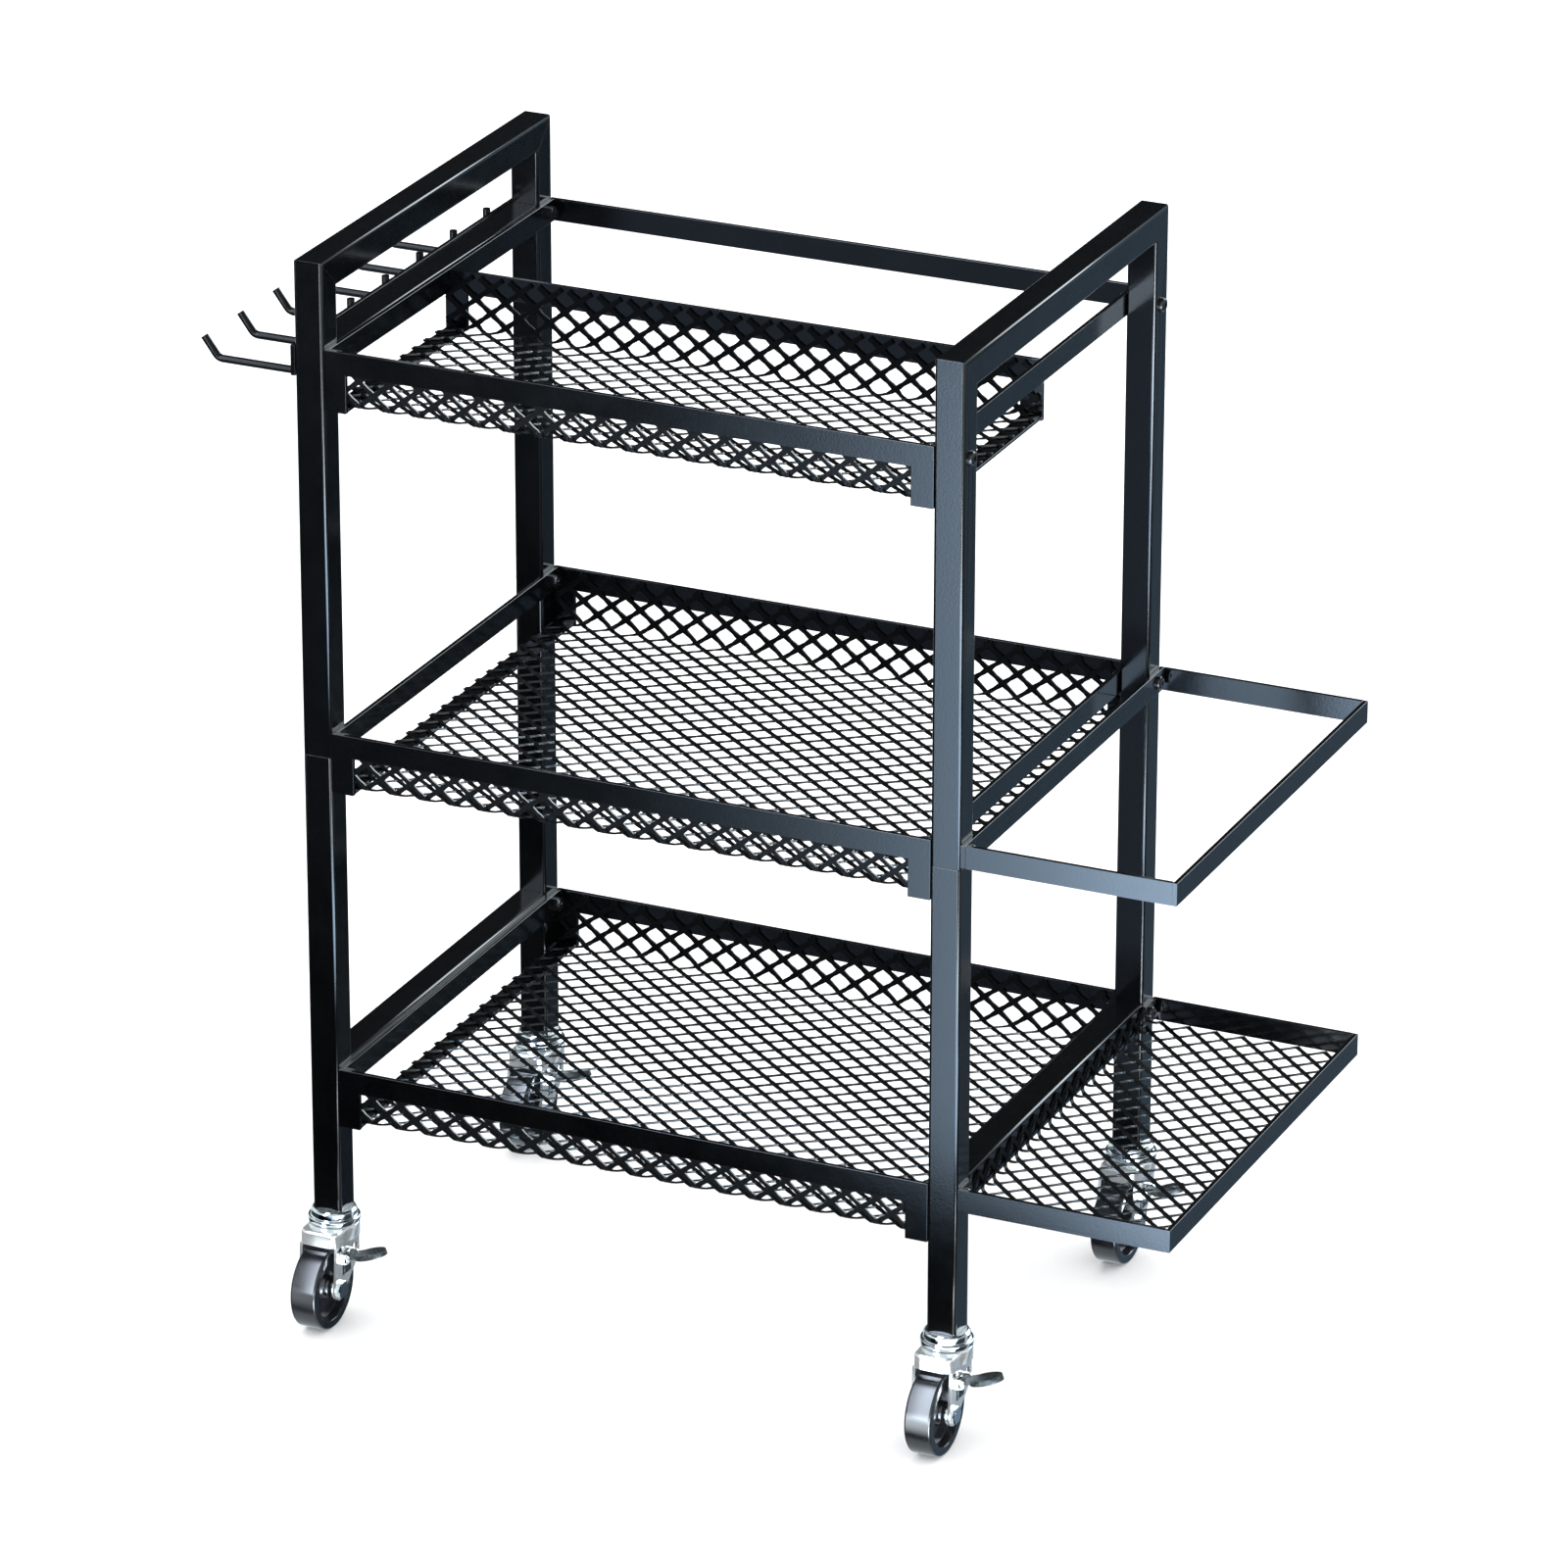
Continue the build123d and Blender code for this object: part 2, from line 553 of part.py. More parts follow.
def fork():
    """Pressed fork: crown with skirt, two side plates and two ears for the lever pin."""
    def outline(inset):
        half = PLATE_OUT - inset
        back = FORK_BACK_RADIUS - inset
        front = FORK_FRONT - inset
        corner = FORK_CORNER - inset
        nose = Pos(0, -front / 2, 0) * Rectangle(2 * half, front)
        nose = fillet(nose.vertices().group_by(Axis.Y)[0], corner)
        return Circle(back) + nose

    crown = Pos(0, 0, CROWN_LOW) * extrude(outline(0), FORK_CROWN_THICK)
    crown = fillet(crown.faces().sort_by(Axis.Z)[-1].edges(), FORK_SHOULDER)
    skirt_height = FORK_SKIRT - FORK_TOP - FORK_CROWN_THICK
    skirt = extrude(outline(0) - outline(FORK_PLATE), skirt_height)
    body = crown + Pos(0, 0, -FORK_SKIRT) * skirt
    plate_points = [
        (-FORK_FRONT + FORK_CORNER, CROWN_LOW),
        (-FORK_FRONT + FORK_CORNER, -FORK_SKIRT),
        (-FORK_FRONT + PLATE_SET_BACK, -FORK_SKIRT),
        (-FORK_FRONT, AXLE_Z + FORK_EYE + 2),
        (-FORK_FRONT - 1, AXLE_Z + 4),
        (AXLE_Y - FORK_EYE, AXLE_Z),
        (AXLE_Y, AXLE_Z),
        (AXLE_Y + FORK_EYE * cos(radians(20)), AXLE_Z - FORK_EYE * sin(radians(20))),
        (FORK_REAR - 2.5, LEVER_PIN_Z - 8),
        (FORK_REAR, LEVER_PIN_Z - 2),
        (FORK_REAR, CROWN_LOW),
    ]
    for sign in (-1, 1):
        x0, x1 = sorted((sign * PLATE_IN, sign * PLATE_OUT))
        plate = prism_x(plate_points, x0, x1) + rod_x(FORK_EYE, x0, x1, AXLE_Y, AXLE_Z)
        body += plate
    body -= rod_x(AXLE / 2 + RUNNING_FIT, -PLATE_OUT - 1, PLATE_OUT + 1, AXLE_Y, AXLE_Z)
    body -= Pos(0, 0, CROWN_LOW + FORK_CROWN_THICK / 2) * Cylinder(
        NECK / 2 + RUNNING_FIT, FORK_CROWN_THICK + 2
    )
    window = block(PLATE_IN - 1, PLATE_OUT + 1,
                   LEVER_FRONT - WINDOW_MARGIN + 1, LEVER_REAR + WINDOW_MARGIN - 1,
                   LEVER_PIN_Z - SHOE_DROP - WINDOW_MARGIN, LEVER_PIN_Z + LEVER_BARREL / 2)
    body -= window
    for y0, y1, z0, z1 in (FRONT_SLOT, REAR_SLOT):
        slot = block(PLATE_IN - 1, PLATE_OUT + 1, y0, y1, z0, z1)
        body -= fillet(slot.edges().filter_by(Axis.X), SLOT_ROUND)
    for y0 in (LEVER_FRONT - LEVER_EAR, LEVER_REAR):
        ear = rod_y(LEVER_EAR_RADIUS, y0, y0 + LEVER_EAR, LEVER_PIN_X, LEVER_PIN_Z)
        ear += block(PLATE_OUT, LEVER_PIN_X, y0, y0 + LEVER_EAR,
                     LEVER_PIN_Z - LEVER_EAR_RADIUS, LEVER_PIN_Z + LEVER_EAR_RADIUS)
        ear -= rod_y(LEVER_PIN / 2, y0 - 1, y0 + LEVER_EAR + 1, LEVER_PIN_X, LEVER_PIN_Z)
        body += ear
    return body


def fork_pins():
    """Axle bolt with its heads and spacer sleeves, and the lever pin with flattened ends."""
    axle = rod_x(AXLE / 2, -PLATE_OUT, PLATE_OUT, AXLE_Y, AXLE_Z)
    for sign in (-1, 1):
        ends = sorted((sign * (HUB_WIDTH / 2 + END_PLAY), sign * PLATE_IN))
        axle += rod_x(SLEEVE_RADIUS, *ends, AXLE_Y, AXLE_Z)
    for sign in (-1, 1):
        face = Plane.YZ * RegularPolygon(AXLE_HEAD / 2, 6, major_radius=False)
        head = extrude(face, AXLE_HEAD_HEIGHT, dir=(sign, 0, 0))
        axle += Pos(sign * PLATE_OUT, AXLE_Y, AXLE_Z) * head
    pin_ends = (LEVER_FRONT - LEVER_EAR - 0.8, LEVER_REAR + LEVER_EAR + 0.8)
    pin = rod_y(LEVER_PIN / 2, *pin_ends, LEVER_PIN_X, LEVER_PIN_Z)
    return [axle, pin]


def wheel():
    """Solid wheel with rounded tread, recessed sides and a hub boss."""
    half = WHEEL_WIDTH / 2
    bore = AXLE / 2 + RUNNING_FIT
    hub_half = HUB_WIDTH / 2
    web_half = half - WEB_RECESS
    section = Polygon(
        (-hub_half, bore), (hub_half, bore), (hub_half, HUB_RADIUS - 1), (hub_half - 1, HUB_RADIUS),
        (web_half, HUB_RADIUS + 1), (web_half, RIM_INNER_RADIUS - 1), (half, RIM_INNER_RADIUS),
        (half, WHEEL_RADIUS), (-half, WHEEL_RADIUS),
        (-half, RIM_INNER_RADIUS), (-web_half, RIM_INNER_RADIUS - 1), (-web_half, HUB_RADIUS + 1),
        (-hub_half + 1, HUB_RADIUS), (-hub_half, HUB_RADIUS - 1),
        align=None,
    )
    tread_corners = section.vertices().group_by(Axis.Y)[-1]
    section = fillet(tread_corners, WHEEL_ROUND)
    body = revolve(Plane.XZ * section, Axis.X)
    return Pos(0, AXLE_Y, AXLE_Z) * body


def brake_lever():
    """Barrel on the lever pin, pedal outside the fork and shoe inside its window."""
    gap = 0.15
    y0 = LEVER_FRONT + gap
    y1 = LEVER_REAR - gap
    barrel = rod_y(LEVER_BARREL / 2, y0, y1, LEVER_PIN_X, LEVER_PIN_Z)
    y_mid = (y0 + y1) / 2
    half_root = (y1 - y0) / 2
    lean = degrees(atan2(PEDAL_SHIFT, PEDAL_LENGTH))
    leaf_length = PEDAL_LENGTH - PEDAL_NECK
    leaf_middle = (PEDAL_NECK + PEDAL_LENGTH) / 2
    half_neck = PEDAL_NECK_WIDTH / 2
    place = Pos(leaf_middle, y_mid + PEDAL_SHIFT * leaf_middle / PEDAL_LENGTH) * Rot(0, 0, lean)
    leaf = place * Ellipse(leaf_length / 2, PEDAL_WIDTH / 2)
    hollow = place * Ellipse(leaf_length / 2 - PEDAL_RIM, PEDAL_WIDTH / 2 - PEDAL_RIM)
    neck = Polygon(
        (0, y_mid - half_root), (PEDAL_NECK, y_mid - half_root), (leaf_middle, y_mid - half_neck),
        (leaf_middle, y_mid + half_neck), (PEDAL_NECK, y_mid + half_root),
        (0, y_mid + half_root),
        align=None,
    )
    pedal = Pos(0, 0, -PEDAL_THICK / 2) * extrude(leaf + neck, PEDAL_THICK)
    lip = Pos(0, 0, -PEDAL_LIP) * extrude(leaf - hollow, PEDAL_LIP)
    pedal = pedal + lip
    pedal = Pos(LEVER_PIN_X, 0, LEVER_PIN_Z) * (Rot(0, -PEDAL_TILT, 0) * pedal)
    shoe = block(SHOE_X, SHOE_X + SHOE_THICK, y0 + 1, y1 - 1,
                 LEVER_PIN_Z - SHOE_DROP, LEVER_PIN_Z + 0.6)
    body = barrel + pedal + shoe
    return body - rod_y(LEVER_PIN / 2 + RUNNING_FIT, y0 - 1, y1 + 1, LEVER_PIN_X, LEVER_PIN_Z)


def build_casters():
    stem = stem_piece()
    add("caster_stems", *[Pos(x, y, 0) * stem for x, y in CASTER_CENTRES.values()])
    pieces = {
        "fork": [fork()],
        "pins": fork_pins(),
        "wheel": [wheel()],
        "brake_lever": [brake_lever()],
    }
    for corner, (x, y) in CASTER_CENTRES.items():
        for part, shapes in pieces.items():
            add(f"{corner}_caster_{part}", *[Pos(x, y, 0) * shape for shape in shapes])


# -------------------------------------------------------------------- output
build_side_frames()
build_trays()
build_side_carriers()
build_hooks()
build_fasteners()
build_casters()

os.makedirs("parts", exist_ok=True)
for name, shape in nodes.items():
    stored = Compound(children=[Pos(-ORIGIN) * solid for solid in shape.solids()])
    export_step(stored, f"parts/{name}.step")
print(len(nodes), "nodes written")
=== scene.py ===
"""Looks of the three-tier tool cart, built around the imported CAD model."""

import math

import bmesh
import bpy
from mathutils import Euler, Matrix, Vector


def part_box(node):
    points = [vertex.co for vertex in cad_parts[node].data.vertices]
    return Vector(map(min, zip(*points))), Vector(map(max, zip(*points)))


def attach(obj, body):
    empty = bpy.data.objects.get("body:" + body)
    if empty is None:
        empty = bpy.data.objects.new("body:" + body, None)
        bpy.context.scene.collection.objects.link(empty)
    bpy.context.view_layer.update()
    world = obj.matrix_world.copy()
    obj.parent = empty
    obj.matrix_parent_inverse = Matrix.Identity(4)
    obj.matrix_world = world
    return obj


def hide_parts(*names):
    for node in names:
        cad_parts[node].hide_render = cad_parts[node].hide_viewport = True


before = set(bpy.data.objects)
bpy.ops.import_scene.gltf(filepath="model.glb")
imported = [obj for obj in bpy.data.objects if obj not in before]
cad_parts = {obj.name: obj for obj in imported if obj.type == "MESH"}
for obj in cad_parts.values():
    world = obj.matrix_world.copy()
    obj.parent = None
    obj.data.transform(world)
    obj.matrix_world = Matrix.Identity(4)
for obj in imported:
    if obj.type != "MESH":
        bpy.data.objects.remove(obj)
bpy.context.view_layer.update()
MM = 0.001


# ------------------------------------------------------------ node helpers
def new_material(name):
    """Empty node material with its output node."""
    material = bpy.data.materials.new(name)
    material.use_nodes = True
    tree = material.node_tree
    tree.nodes.clear()
    output = tree.nodes.new("ShaderNodeOutputMaterial")
    return material, tree, output


def is_socket(value):
    """True for the output of another node, False for a plain value."""
    return isinstance(value, bpy.types.NodeSocket)


def add_node(tree, kind, inputs=None, **settings):
    """New node with its settings; each input is given a value or another node's socket."""
    made = tree.nodes.new(kind)
    for key, value in settings.items():
        setattr(made, key, value)
    for key, value in (inputs or {}).items():
        if is_socket(value):
            tree.links.new(value, made.inputs[key])
        else:
            made.inputs[key].default_value = value
    return made


def noise(tree, vector, scale, detail=2.0, rough=0.5):
    """Noise factor at a scale in cells per metre."""
    inputs = {"Vector": vector, "Scale": scale, "Detail": detail, "Roughness": rough}
    return add_node(tree, "ShaderNodeTexNoise", inputs).outputs["Fac"]


def remap(tree, value, low, high, from_low=0.3, from_high=0.7, smooth=False):
    """Value carried from one range to another and clamped."""
    inputs = {"Value": value, "From Min": from_low, "From Max": from_high, "To Min": low, "To Max": high}
    kind = "SMOOTHSTEP" if smooth else "LINEAR"
    return add_node(tree, "ShaderNodeMapRange", inputs, interpolation_type=kind).outputs["Result"]


def combine(tree, operation, *values):
    """Result of a maths node."""
    return add_node(tree, "ShaderNodeMath", dict(enumerate(values)), operation=operation).outputs[0]


def slope(tree, first, second, lean, offset):
    """first + lean x second + offset: a straight ramp across a plane."""
    return combine(tree, "ADD", first, combine(tree, "MULTIPLY_ADD", second, lean, offset))


def axes(tree, vector):
    """The X, Y and Z sockets of a vector."""
    return add_node(tree, "ShaderNodeSeparateXYZ", {"Vector": vector}).outputs


def block(tree, parts, edges):
    """1 inside a block with soft sides and 0 outside. Each edge is an axis, where it starts and where it is full."""
    inside = None
    for axis, start, full in edges:
        edge = remap(tree, parts[axis], 0.0, 1.0, start, full, True)
        inside = edge if inside is None else combine(tree, "MULTIPLY", inside, edge)
    return inside


def blend_colour(tree, factor, first, second):
    """Colour between two, where each is a colour or a socket."""
    made = add_node(tree, "ShaderNodeMix", {"Factor": factor}, data_type="RGBA")
    for slot, value in (("A", first), ("B", second)):
        socket = [s for s in made.inputs if s.name == slot and s.type == "RGBA"][0]
        if is_socket(value):
            tree.links.new(value, socket)
        else:
            socket.default_value = (*value, 1.0)
    return [s for s in made.outputs if s.type == "RGBA"][0]


def bump(tree, height, strength, distance):
    """Normal tilted by the slopes of a height."""
    inputs = {"Height": height, "Strength": strength, "Distance": distance}
    return add_node(tree, "ShaderNodeBump", inputs).outputs["Normal"]


def shader(tree, output, colour, rough, normal=None, **values):
    """Principled shader wired to the output."""
    inputs = {"Base Color": colour, "Roughness": rough}
    if normal is not None:
        inputs["Normal"] = normal
    for key, value in values.items():
        inputs[key.replace("_", " ")] = value
    surface(tree, output, add_node(tree, "ShaderNodeBsdfPrincipled", inputs).outputs["BSDF"])


def surface(tree, output, socket):
    """Wire a finished shader to the output."""
    tree.links.new(socket, output.inputs["Surface"])


def coordinates(tree):
    """Object coordinates, which are the stored frame in metres."""
    return tree.nodes.new("ShaderNodeTexCoord").outputs["Object"]


# --------------------------------------------------------------- materials
SPECK_GAIN = 2.6        # how much lighter a speck is than the coat's light tone
PEEL_DEPTH, GRAIN_DEPTH, LINE_DEPTH = 0.6 * MM, 0.3 * MM, 0.2 * MM


def powder_coat(name, dark, light, rough_low, rough_high, peel=0.05, shine=0.5):
    """Powder coat: orange peel, faint cloudiness, a few lighter specks and uneven gloss."""
    material, tree, output = new_material(name)
    at = coordinates(tree)
    cloud = noise(tree, at, 24.0, 4.0, 0.6)
    speck = noise(tree, at, 2600.0, 1.0)
    orange_peel = noise(tree, at, 780.0, 2.0, 0.45)
    patch = noise(tree, at, 60.0, 3.0, 0.55)
    colour = blend_colour(tree, remap(tree, cloud, 0.0, 1.0), dark, light)
    speckled = tuple(min(1.0, SPECK_GAIN * c) for c in light)
    colour = blend_colour(tree, remap(tree, speck, 0.0, 0.5, 0.62, 0.8), colour, speckled)
    rough = remap(tree, patch, rough_low, rough_high)
    normal = bump(tree, orange_peel, peel, PEEL_DEPTH)
    shader(tree, output, colour, rough, normal, Specular_IOR_Level=shine)
    return material


def bright_plate(name, metallic, rough_low, rough_high):
    """Bright plated pressed steel with fine drawing lines and faint haze."""
    material, tree, output = new_material(name)
    at = coordinates(tree)
    drawn = add_node(tree, "ShaderNodeMapping", {"Vector": at, "Scale": (1.0, 1.0, 9.0)}).outputs["Vector"]
    lines = noise(tree, drawn, 900.0)
    haze = noise(tree, at, 140.0, 3.0, 0.6)
    colour = blend_colour(tree, remap(tree, haze, 0.0, 1.0), (0.72, 0.76, 0.77), (0.88, 0.90, 0.90))
    rough = remap(tree, haze, rough_low, rough_high)
    normal = bump(tree, lines, 0.05, LINE_DEPTH)
    shader(tree, output, colour, rough, normal, Metallic=metallic)
    return material


def mottled(name, mottle, grain, dark, light, rough, relief, spread=(0.3, 0.7), **values):
    """Finish whose tone and gloss drift together, over a fine grain. mottle and grain are noises, each with
    its cells per metre and then its detail and roughness; spread is the part of the mottle that changes tone."""
    material, tree, output = new_material(name)
    at = coordinates(tree)
    drift = noise(tree, at, *mottle)
    colour = blend_colour(tree, remap(tree, drift, 0.0, 1.0, *spread), dark, light)
    normal = bump(tree, noise(tree, at, *grain), relief, GRAIN_DEPTH)
    shader(tree, output, colour, remap(tree, drift, *rough), normal, **values)
    return material


BLACK = (0.0008, 0.0010, 0.0012), (0.0020, 0.0024, 0.0028)
COAT = powder_coat("powder_coat", *BLACK, 0.12, 0.16)
HOOK_COAT = powder_coat("hook_coat", *BLACK, 0.24, 0.32, 0.05, 0.22)
MESH_COAT = powder_coat("mesh_coat", (0.0010, 0.0012, 0.0014), (0.0028, 0.0032, 0.0036), 0.40, 0.55, 0.05, 0.10)
# Coat for the strands' cut edges: glossier than the mesh coat, and its lighter tone is painted sheen, standing in for
# the light these edges catch.
MESH_EDGE_PAINTED_SHEEN = powder_coat("mesh_coat_edge_painted_sheen", (0.010, 0.012, 0.012), (0.022, 0.025, 0.024), 0.20, 0.30, 0.04, 0.50)
BOLT_BLACK = powder_coat("black_bolt", (0.0025, 0.0025, 0.003), (0.006, 0.006, 0.007), 0.20, 0.30, 0.05)
ZINC = bright_plate("bright_zinc", 0.72, 0.10, 0.18)
CHROME = bright_plate("bright_chrome", 1.0, 0.05, 0.10)
# Glossy hard plastic.
WHEEL = mottled("wheel_plastic", (90.0, 3.0), (1700.0,), (0.006, 0.0065, 0.008), (0.014, 0.015, 0.019),
                (0.13, 0.20), 0.03, Specular_IOR_Level=0.65)
# Dark plating, worn lighter on its high spots.
LEVER = mottled("lever_black", (420.0, 4.0, 0.65), (1500.0,), (0.022, 0.028, 0.030), (0.10, 0.12, 0.125),
                (0.22, 0.40), 0.10, (0.5, 0.75), Metallic=0.35)
# Matte moulded plug inside a leg.
NYLON = mottled("socket_plastic", (1200.0, 3.0), (1200.0, 3.0), (0.012, 0.012, 0.013), (0.022, 0.022, 0.023),
                (0.5, 0.65), 0.15)


# ------------------------------------------------------------ carried nodes
WELD_GAP = 2e-6         # corners this close are joined, in metres
ROLL_ANGLE = 38.0       # edges sharper than this are rolled, in degrees

# Finish and rolled edge in mm. A caster's node takes the first row that its name ends with.
CASTER_FINISHES = (("wheel", WHEEL, 0.3), ("brake_lever", LEVER, 0.25), ("fork", ZINC, 0.2), ("", CHROME, 0.2))
FINISHES = {"leg_bolts": (BOLT_BLACK, 0.0), "leg_nuts": (BOLT_BLACK, 0.0),
            "leg_sockets": (NYLON, 0.0), "side_hooks": (HOOK_COAT, 0.2)}
FRAME_FINISH = (COAT, 0.35)


def dress(node_name, material, edge):
    """Give a CAD node its finish and a fine rolled edge that catches light."""
    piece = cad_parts[node_name]
    piece.data.materials.clear()
    piece.data.materials.append(material)
    weld = piece.modifiers.new("join", "WELD")
    weld.merge_threshold = WELD_GAP
    if edge:
        rolled = piece.modifiers.new("rolled_edge", "BEVEL")
        rolled.width = edge * MM
        rolled.segments = 2
        rolled.limit_method = "ANGLE"
        rolled.angle_limit = math.radians(ROLL_ANGLE)
        rolled.harden_normals = True
        rolled.use_clamp_overlap = True


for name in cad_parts:
    if name.endswith("mesh"):
        continue  # the flat sheets are replaced by expanded metal below
    if "caster" in name:
        finish = next(row[1:] for row in CASTER_FINISHES if name.endswith(row[0]))
    else:
        finish = FINISHES.get(name, FRAME_FINISH)
    dress(name, *finish)


# ----------------------------------------------------------- expanded metal
RINGS = 4               # rings of corners along a strand, for each half diamond
SWELL = 0.38            # how much wider a strand gets where it joins its neighbours
LAYER = 0.12 * MM       # how far the two ways of strands stand off the sheet's middle
PROBE = 1e-5            # step along the sheet that finds its directions, in metres
SLACK = 1e-9            # rounding allowed at the sheet's edges, in metres


def expanded_metal(name, sheet, long_way, short_way, strand, pitch):
    """Expanded metal on a sheet. sheet(l, s) is a point of the sheet's middle, in metres; strand(s, way)
    gives a strand's width, thickness and tilt, and whether its cut edges take the painted sheen; pitch is a diamond's
    size."""
    half_l, half_s = pitch[0] / 2, pitch[1] / 2
    rows = int(short_way / half_s) + 2
    mesh = bmesh.new()

    def strand_frame(l, s, along):
        """Point, normal and direction of a strand, which always runs towards +x."""
        here = sheet(l, s)
        across_l = (sheet(l + PROBE, s) - sheet(l - PROBE, s)).normalized()
        across_s = (sheet(l, s + PROBE) - sheet(l, s - PROBE)).normalized()
        normal = across_l.cross(across_s).normalized()
        way = (across_l * along[0] + across_s * along[1]).normalized()
        return here, normal, -way if way.x < 0 else way

    def lay(rings):
        """Build one strand through its rings of four corners, with the lighter edge coat, which is painted sheen, on
        the cut edges of marked strands.
        """
        if len(rings) < 2:
            return
        rings = [([mesh.verts.new(p) for p in ring], has_painted_sheen) for ring, has_painted_sheen in rings]
        for (one, _), (two, has_painted_sheen) in zip(rings, rings[1:]):
            for i in range(4):
                j = (i + 1) % 4
                # The cut edges, the odd sides, of marked strands take the lighter coat with painted sheen.
                mesh.faces.new((one[i], one[j], two[j], two[i])).material_index = int(has_painted_sheen and i % 2)
        mesh.faces.new(rings[0][0][::-1])
        mesh.faces.new(rings[-1][0])

    for lean in (1, -1):
        first = -rows if lean > 0 else 0
        last = int(long_way / pitch[0]) + (1 if lean > 0 else rows) + 1
        for line in range(first, last):
            rings = []
            for k in range(rows * RINGS):
                t = k / RINGS
                l = line * pitch[0] + lean * t * half_l
                s = t * half_s
                if not (-SLACK <= l <= long_way + SLACK and s <= short_way + SLACK):
                    lay(rings)
                    rings = []
                    continue
                here, normal, way = strand_frame(l, s, (lean * half_l, half_s))
                middle = 1 - abs(math.cos(math.pi * t))
                width, thick, tilt, has_painted_sheen = strand(s, way)
                swell = 1.0 + SWELL * (1 - middle)
                turn = math.radians(tilt) * middle
                side = normal.cross(way).normalized()
                wide = side * math.cos(turn) + normal * math.sin(turn)
                deep = normal * math.cos(turn) - side * math.sin(turn)
                centre = here + normal * (LAYER * lean)
                a, b = wide * (width * swell / 2), deep * (thick / 2)
                rings.append(([centre + p for p in (-a - b, a - b, a + b, -a + b)], has_painted_sheen))
            lay(rings)
    bmesh.ops.recalc_face_normals(mesh, faces=mesh.faces)
    data = bpy.data.meshes.new(name)
    mesh.to_mesh(data)
    mesh.free()
    data.materials.append(MESH_COAT)
    # Second slot: the edge coat whose lighter tone is painted sheen.
    data.materials.append(MESH_EDGE_PAINTED_SHEEN)
    piece = bpy.data.objects.new(name, data)
    bpy.context.scene.collection.objects.link(piece)
    return piece


SHEET = 2.0 * MM        # thickness of the sheets in the CAD, whose middle the strands follow
TRAY_BEND = 4.0 * MM
SHELF_BEND = 3.0 * MM
TRAY_PITCH = (20.7 * MM, 16.5 * MM)
SHELF_PITCH = (18.0 * MM, 19.0 * MM)
# A strand on the wall and on the floor: width and thickness in mm, tilt in degrees. On the floors
# the strands that lean one way lie flat and the others stand on edge.
TRAY_FLAT = (2.4, 1.4, 0.0), (2.2, 1.0, 8.0)
TRAY_ON_EDGE = (2.8, 1.4, 0.0), (1.0, 1.3, -23.0)
SHELF_FLAT = (2.5, 1.0, 0.0), (2.2, 1.0, 8.0)
SHELF_ON_EDGE = (2.3, 1.0, 0.0), (1.1, 1.3, -20.0)


def fold(top, floor, bend):
    """Profile of a wall bent into a floor, with the lengths of its wall and its bend. The profile gives the
    height and the depth from the wall at a distance down the sheet."""
    wall = top - floor - bend
    quarter = math.pi / 2 * bend

    def profile(s):
        if s < wall:
            return top - s, 0.0
        if s < wall + quarter:
            angle = (s - wall) / bend
            return floor + bend * (1 - math.sin(angle)), bend * (1 - math.cos(angle))
        return floor, bend + s - wall - quarter

    return profile, wall, quarter


def strand_size(sizes, on_floor):
    """Width and thickness in metres and tilt in degrees, between a strand's size on the wall and on the floor."""
    on_floor = max(0.0, min(1.0, on_floor))
    width, thick, tilt = (a + (b - a) * on_floor for a, b in zip(*sizes))
    return width * MM, thick * MM, tilt


def tray_sheet(low, high):
    """Front wall, floor and rear wall of a tray: its sheet, the lengths along and across the folds, its strands."""
    front, rear = low.y + SHEET / 2, high.y - SHEET / 2
    profile, wall, quarter = fold(high.z, low.z + SHEET / 2, TRAY_BEND)
    total = 2 * (wall + quarter) + (rear - front - 2 * TRAY_BEND)

    def sheet(l, s):
        z, depth = profile(min(s, total - s))
        return Vector((low.x + l, front + depth if s <= total / 2 else rear - depth, z))

    def strand(s, way):
        on_floor = (min(s, total - s) - wall) / quarter
        # The last value marks the strands whose cut edges take the painted sheen.
        if way.y < 0 or (s < wall and way.z < 0):
            return *strand_size(TRAY_FLAT, on_floor), s < wall
        has_painted_sheen = s < wall + quarter / 2 or wall + 2 * quarter < s < total - wall - quarter
        return *strand_size(TRAY_ON_EDGE, on_floor), has_painted_sheen

    return sheet, high.x - low.x, total, strand


def shelf_sheet(low, high):
    """Short inner wall and floor of the side shelf, described like a tray."""
    inner = low.x + SHEET / 2
    profile, wall, quarter = fold(high.z, low.z + SHEET / 2, SHELF_BEND)
    total = wall + quarter + high.x - inner - SHELF_BEND

    def sheet(l, s):
        z, depth = profile(s)
        return Vector((inner + depth, high.y - l, z))

    def strand(s, way):
        on_floor = (s - wall) / quarter
        # The last value marks the strands whose cut edges take the painted sheen: those on edge, past the bend.
        if way.x * way.y < 0:
            return *strand_size(SHELF_FLAT, on_floor), False
        return *strand_size(SHELF_ON_EDGE, on_floor), s > wall + quarter

    return sheet, high.y - low.y, total, strand


MESHES = [(f"{tier}_tray_mesh", f"{tier}_expanded_mesh", tray_sheet, TRAY_PITCH)
          for tier in ("bottom", "middle", "top")]
MESHES.append(("side_shelf_mesh", "side_shelf_expanded_mesh", shelf_sheet, SHELF_PITCH))
for node, name, shape, pitch in MESHES:
    piece = expanded_metal(name, *shape(*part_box(node)), pitch)
    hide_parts(node)
    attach(piece, "cart")


